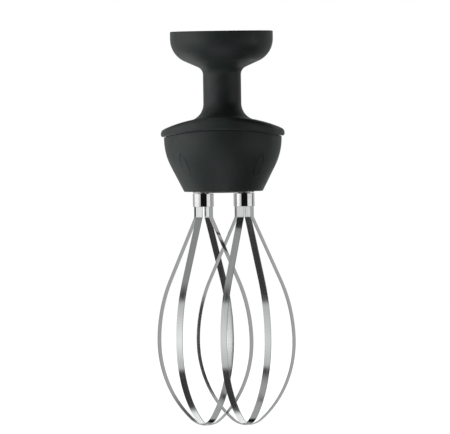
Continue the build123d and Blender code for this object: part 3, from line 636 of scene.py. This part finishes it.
def cross_screws():
    """Geometry nodes that set screws with a cross recess on a line, each turned a little further."""
    sizes = (
        "Head Radius", "Head Height", "Chamfer", "Shank Radius", "Length",
        "Recess Length", "Recess Width", "Recess Depth", "Pitch", "Face Height", "Step Turn",
    )
    tree, given, made = shape_tree("cross screws", "Start", sizes, "Screws")
    link = tree.links.new

    def rod(radius, length, low):
        """Upright cylinder from a foot height."""
        node = tree.nodes.new("GeometryNodeMeshCylinder")
        node.inputs["Vertices"].default_value = screw_sides
        link(radius, node.inputs["Radius"])
        link(length, node.inputs["Depth"])
        middle = reckon(tree, "MULTIPLY_ADD", length, 0.5, low)
        return moved(tree, node.outputs["Mesh"], vector_of(tree, z=middle))

    # The head's lower face is drawn down and narrowed to make the chamfer
    barrel = reckon(tree, "SUBTRACT", given["Head Height"], given["Chamfer"])
    head = rod(given["Head Radius"], barrel, given["Chamfer"])
    facing = parts_of(tree, tree.nodes.new("GeometryNodeInputNormal").outputs["Normal"])
    downward = compared(tree, "LESS_THAN", facing["Z"], limit=-0.5)
    drawn = tree.nodes.new("GeometryNodeExtrudeMesh")
    link(head, drawn.inputs["Mesh"])
    link(downward, drawn.inputs["Selection"])
    link(given["Chamfer"], drawn.inputs["Offset Scale"])
    drawn.inputs["Individual"].default_value = False
    narrowed = tree.nodes.new("GeometryNodeScaleElements")
    link(drawn.outputs["Mesh"], narrowed.inputs["Geometry"])
    link(drawn.outputs["Top"], narrowed.inputs["Selection"])
    lip = reckon(tree, "DIVIDE", given["Chamfer"], given["Head Radius"])
    link(reckon(tree, "SUBTRACT", 1.0, lip), narrowed.inputs["Scale"])

    cut = tree.nodes.new("GeometryNodeMeshBoolean")
    cut.operation = "DIFFERENCE"
    cut.solver = "EXACT"
    link(narrowed.outputs["Geometry"], cut.inputs["Mesh 1"])
    slot_depth = reckon(tree, "MULTIPLY", given["Recess Depth"], 2.0)
    for turn in (0.0, pi / 2):
        slot = tree.nodes.new("GeometryNodeMeshCube")
        slot_size = vector_of(tree, given["Recess Length"], given["Recess Width"], slot_depth)
        link(slot_size, slot.inputs["Size"])
        link(moved(tree, slot.outputs["Mesh"], turn=(0.0, 0.0, turn)), cut.inputs["Mesh 2"])
    screw = tree.nodes.new("GeometryNodeJoinGeometry")
    shank = reckon(tree, "SUBTRACT", given["Length"], given["Head Height"])
    link(cut.outputs["Mesh"], screw.inputs["Geometry"])
    link(rod(given["Shank Radius"], shank, given["Head Height"]), screw.inputs["Geometry"])

    row = tree.nodes.new("GeometryNodeMeshLine")
    row.inputs["Count"].default_value = screw_count
    first = reckon(tree, "MULTIPLY", given["Pitch"], -0.5)
    link(vector_of(tree, x=first, z=given["Face Height"]), row.inputs["Start Location"])
    link(vector_of(tree, x=given["Pitch"]), row.inputs["Offset"])
    spots = tree.nodes.new("GeometryNodeInstanceOnPoints")
    link(row.outputs["Mesh"], spots.inputs["Points"])
    link(screw.outputs["Geometry"], spots.inputs["Instance"])
    number = reckon(tree, "ADD", tree.nodes.new("GeometryNodeInputIndex").outputs["Index"], 1.0)
    turned = reckon(tree, "MULTIPLY", number, given["Step Turn"])
    link(vector_of(tree, z=turned), spots.inputs["Rotation"])
    link(coated(tree, spots.outputs["Instances"], given["Finish"]), made["Screws"])
    return tree


def plate_screws():
    """The two screws that hold the seal plate, in the place of their plain solids."""
    node = "seal_plate_screws"
    low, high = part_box(node)
    radius = (high.y - low.y) / 2
    source = in_scene("screw_line", bpy.data.meshes.new("screw_line"))
    piece = made_by(cross_screws(), source, "seal_plate_cross_screws", {
        "Head Radius": radius,
        "Head Height": screw_head_height * MM,
        "Chamfer": screw_chamfer * MM,
        "Shank Radius": screw_shank_radius * MM,
        "Length": high.z - low.z,
        "Recess Length": screw_recess_length * MM,
        "Recess Width": screw_recess_width * MM,
        "Recess Depth": screw_recess_depth * MM,
        "Pitch": high.x - low.x - 2 * radius,
        "Face Height": low.z,
        "Step Turn": radians(screw_step_turn),
        "Finish": finishes["screw_steel"],
    })
    # The cut leaves an empty material slot in front of the finish
    piece.data.materials.pop(index=0)
    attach(piece, "head")
    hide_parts(node)


plate_screws()


# Studio panels: degrees round from the camera, degrees up from level, soft edge in degrees, strength
studio_panels = {
    "left panel": ((-114.0, -29.0), (-29.0, 28.0), 2.0, 0.72),
    "left panel middle": ((-105.0, -50.0), (-12.0, 12.0), 14.0, 0.55),
    "right panel": ((41.0, 100.0), (-20.0, 4.0), 3.0, 0.95),
    "back wall": ((112.0, 246.0), (-29.0, 28.0), 4.0, 0.5),
    "upper left": ((-150.0, -20.0), (38.0, 100.0), 10.0, 0.48),
    "table edge": ((-30.0, 25.0), (-76.0, -40.0), 8.0, 0.8),
}
studio_ambient = 0.008

# Table top below the panels: its edge in degrees, and its light from front to back and from left to right
table_edge = (-27.0, -31.0)
table_depth = (0.16, 0.28)
table_light = (0.045, 1.2)
table_side = (0.1, 0.5)
table_fade = (1.0, 0.15)

# Floor, lamps and camera, with lengths in millimetres
floor_radius = 3000.0
floor_gap = 0.3
floor_sides = 64
floor_grey = 0.6
floor_glow = 1.33
floor_glow_share = 0.75
lamp_aim_height = -90.0
sensor_width = 36.0
photo_width = 450
far_clip = 100000.0


def studio_sky():
    """World that the camera sees as plain white, and the part as a dark studio with bright panels."""
    world = bpy.data.worlds.new("studio")
    bpy.context.scene.world = world
    world.use_nodes = True
    tree = world.node_tree
    tree.nodes.clear()
    way = parts_of(tree, tree.nodes.new("ShaderNodeTexCoord").outputs["Generated"])
    ahead = reckon(tree, "MULTIPLY", way["Y"], -1.0)
    around = reckon(tree, "MULTIPLY", reckon(tree, "ARCTAN2", way["X"], ahead), 180 / pi)
    upward = reckon(tree, "MULTIPLY", reckon(tree, "ARCSINE", way["Z"]), 180 / pi)

    def window(value, low, high, soft):
        """1 inside a range of degrees and 0 outside, with soft edges."""
        rise = spread(tree, value, low - soft, low + soft)
        fall = spread(tree, value, high - soft, high + soft, 1.0, 0.0)
        return reckon(tree, "MULTIPLY", rise, fall)

    light = studio_ambient
    for (first, last), (low, high), soft, strength in studio_panels.values():
        beside = window(around, first, last, soft)
        # A panel that ends past 180 degrees goes on from -180
        if last > 180:
            behind = spread(tree, around, last - 360, last - 360 - soft)
            beside = reckon(tree, "MAXIMUM", beside, behind)
        patch = reckon(tree, "MULTIPLY", beside, window(upward, low, high, soft))
        light = reckon(tree, "MULTIPLY_ADD", patch, strength, light)
    table = spread(tree, way["Y"], *table_depth, *table_light)
    table = reckon(tree, "MULTIPLY", table, spread(tree, way["X"], *table_side, *table_fade))
    light = reckon(tree, "MULTIPLY_ADD", spread(tree, upward, *table_edge), table, light)

    path = tree.nodes.new("ShaderNodeLightPath").outputs
    seen = reckon(tree, "MAXIMUM", path["Is Camera Ray"], path["Is Transmission Ray"])
    unseen = reckon(tree, "SUBTRACT", 1.0, seen)
    backdrop = tree.nodes.new("ShaderNodeBackground")
    backdrop.inputs["Color"].default_value = paint(1.0, 1.0, 1.0)
    tree.links.new(reckon(tree, "MULTIPLY_ADD", light, unseen, seen), backdrop.inputs["Strength"])
    output = tree.nodes.new("ShaderNodeOutputWorld")
    tree.links.new(backdrop.outputs[0], output.inputs["Surface"])


def pale_floor():
    """White floor under the whisks that keeps a faint shadow and is clear from below."""
    shape = bmesh.new()
    bmesh.ops.create_circle(shape, cap_ends=True, segments=floor_sides, radius=floor_radius * MM)
    bmesh.ops.translate(shape, verts=shape.verts, vec=(0, 0, cad_box[0].z - floor_gap * MM))
    mesh = bpy.data.meshes.new("floor")
    shape.to_mesh(mesh)
    shape.free()
    material = bpy.data.materials.new("pale_floor")
    material.use_nodes = True
    tree = material.node_tree
    tree.nodes.clear()

    def mixed(share, first, second):
        """Shader between two others."""
        node = tree.nodes.new("ShaderNodeMixShader")
        for socket, value in zip(node.inputs, (share, first, second)):
            tree.links.new(value, socket)
        return node.outputs[0]

    lit = tree.nodes.new("ShaderNodeBsdfDiffuse")
    lit.inputs["Color"].default_value = paint(floor_grey, floor_grey, floor_grey)
    white = tree.nodes.new("ShaderNodeEmission")
    white.inputs["Strength"].default_value = floor_glow
    clear = tree.nodes.new("ShaderNodeBsdfTransparent")
    seen = tree.nodes.new("ShaderNodeLightPath").outputs["Is Camera Ray"]
    below = tree.nodes.new("ShaderNodeNewGeometry").outputs["Backfacing"]
    top = mixed(reckon(tree, "MULTIPLY", seen, floor_glow_share), lit.outputs[0], white.outputs[0])
    output = tree.nodes.new("ShaderNodeOutputMaterial")
    tree.links.new(mixed(below, top, clear.outputs[0]), output.inputs["Surface"])
    mesh.materials.append(material)
    floor = in_scene("floor", mesh)
    floor.visible_glossy = False
    floor.visible_shadow = False


def soft_lamp(name, azimuth, elevation, distance, size, watts):
    """Square soft lamp that looks at the housing; its distance and size are in metres."""
    lamp = bpy.data.lights.new(name, "AREA")
    lamp.size = size
    lamp.energy = watts
    around = radians(azimuth)
    up = radians(elevation)
    away = Vector((sin(around) * cos(up), -cos(around) * cos(up), sin(up)))
    facing = away.to_track_quat("Z", "Y").to_matrix().to_4x4()
    holder = in_scene(name, lamp)
    aim = Vector((0, 0, lamp_aim_height * MM))
    holder.matrix_world = Matrix.Translation(aim + away * distance) @ facing
    holder.visible_glossy = False


def photo_camera(azimuth, distance, eye, aim_height, aim_side, roll, scale):
    """Camera that sees the photograph's frame, 450 by 434 pixels at a scale in millimetres per pixel."""
    data = bpy.data.cameras.new("camera")
    data.sensor_width = sensor_width
    data.lens = sensor_width * distance / (photo_width * scale)
    data.clip_end = far_clip * MM
    around = radians(azimuth)
    right = Vector((cos(around), sin(around), 0))
    aside = right * aim_side * MM
    aim = aside + Vector((0, 0, aim_height * MM))
    place = Vector((sin(around), -cos(around), 0)) * distance * MM + aside + Vector((0, 0, eye * MM))
    back = (place - aim).normalized()
    flat = Vector((0, 0, 1)).cross(back).normalized()
    upright = back.cross(flat)
    turn = Matrix((flat, upright, back)).transposed().to_4x4()
    camera = in_scene("camera", data)
    camera.matrix_world = Matrix.Translation(place) @ turn @ Matrix.Rotation(radians(roll), 4, "Z")
    bpy.context.scene.camera = camera


studio_sky()
pale_floor()
soft_lamp("key_lamp", azimuth=-50.0, elevation=-18.0, distance=1.5, size=0.9, watts=18.5)
soft_lamp("back_lamp", azimuth=190.0, elevation=30.0, distance=1.5, size=0.9, watts=12.0)
soft_lamp("side_lamp", azimuth=118.0, elevation=40.0, distance=1.5, size=0.6, watts=6.0)
photo_camera(
    azimuth=2.0, distance=5000.0, eye=-56.0, aim_height=-130.0, aim_side=0.76, roll=-0.8, scale=0.6995
)
bpy.context.scene.view_settings.view_transform = "Standard"
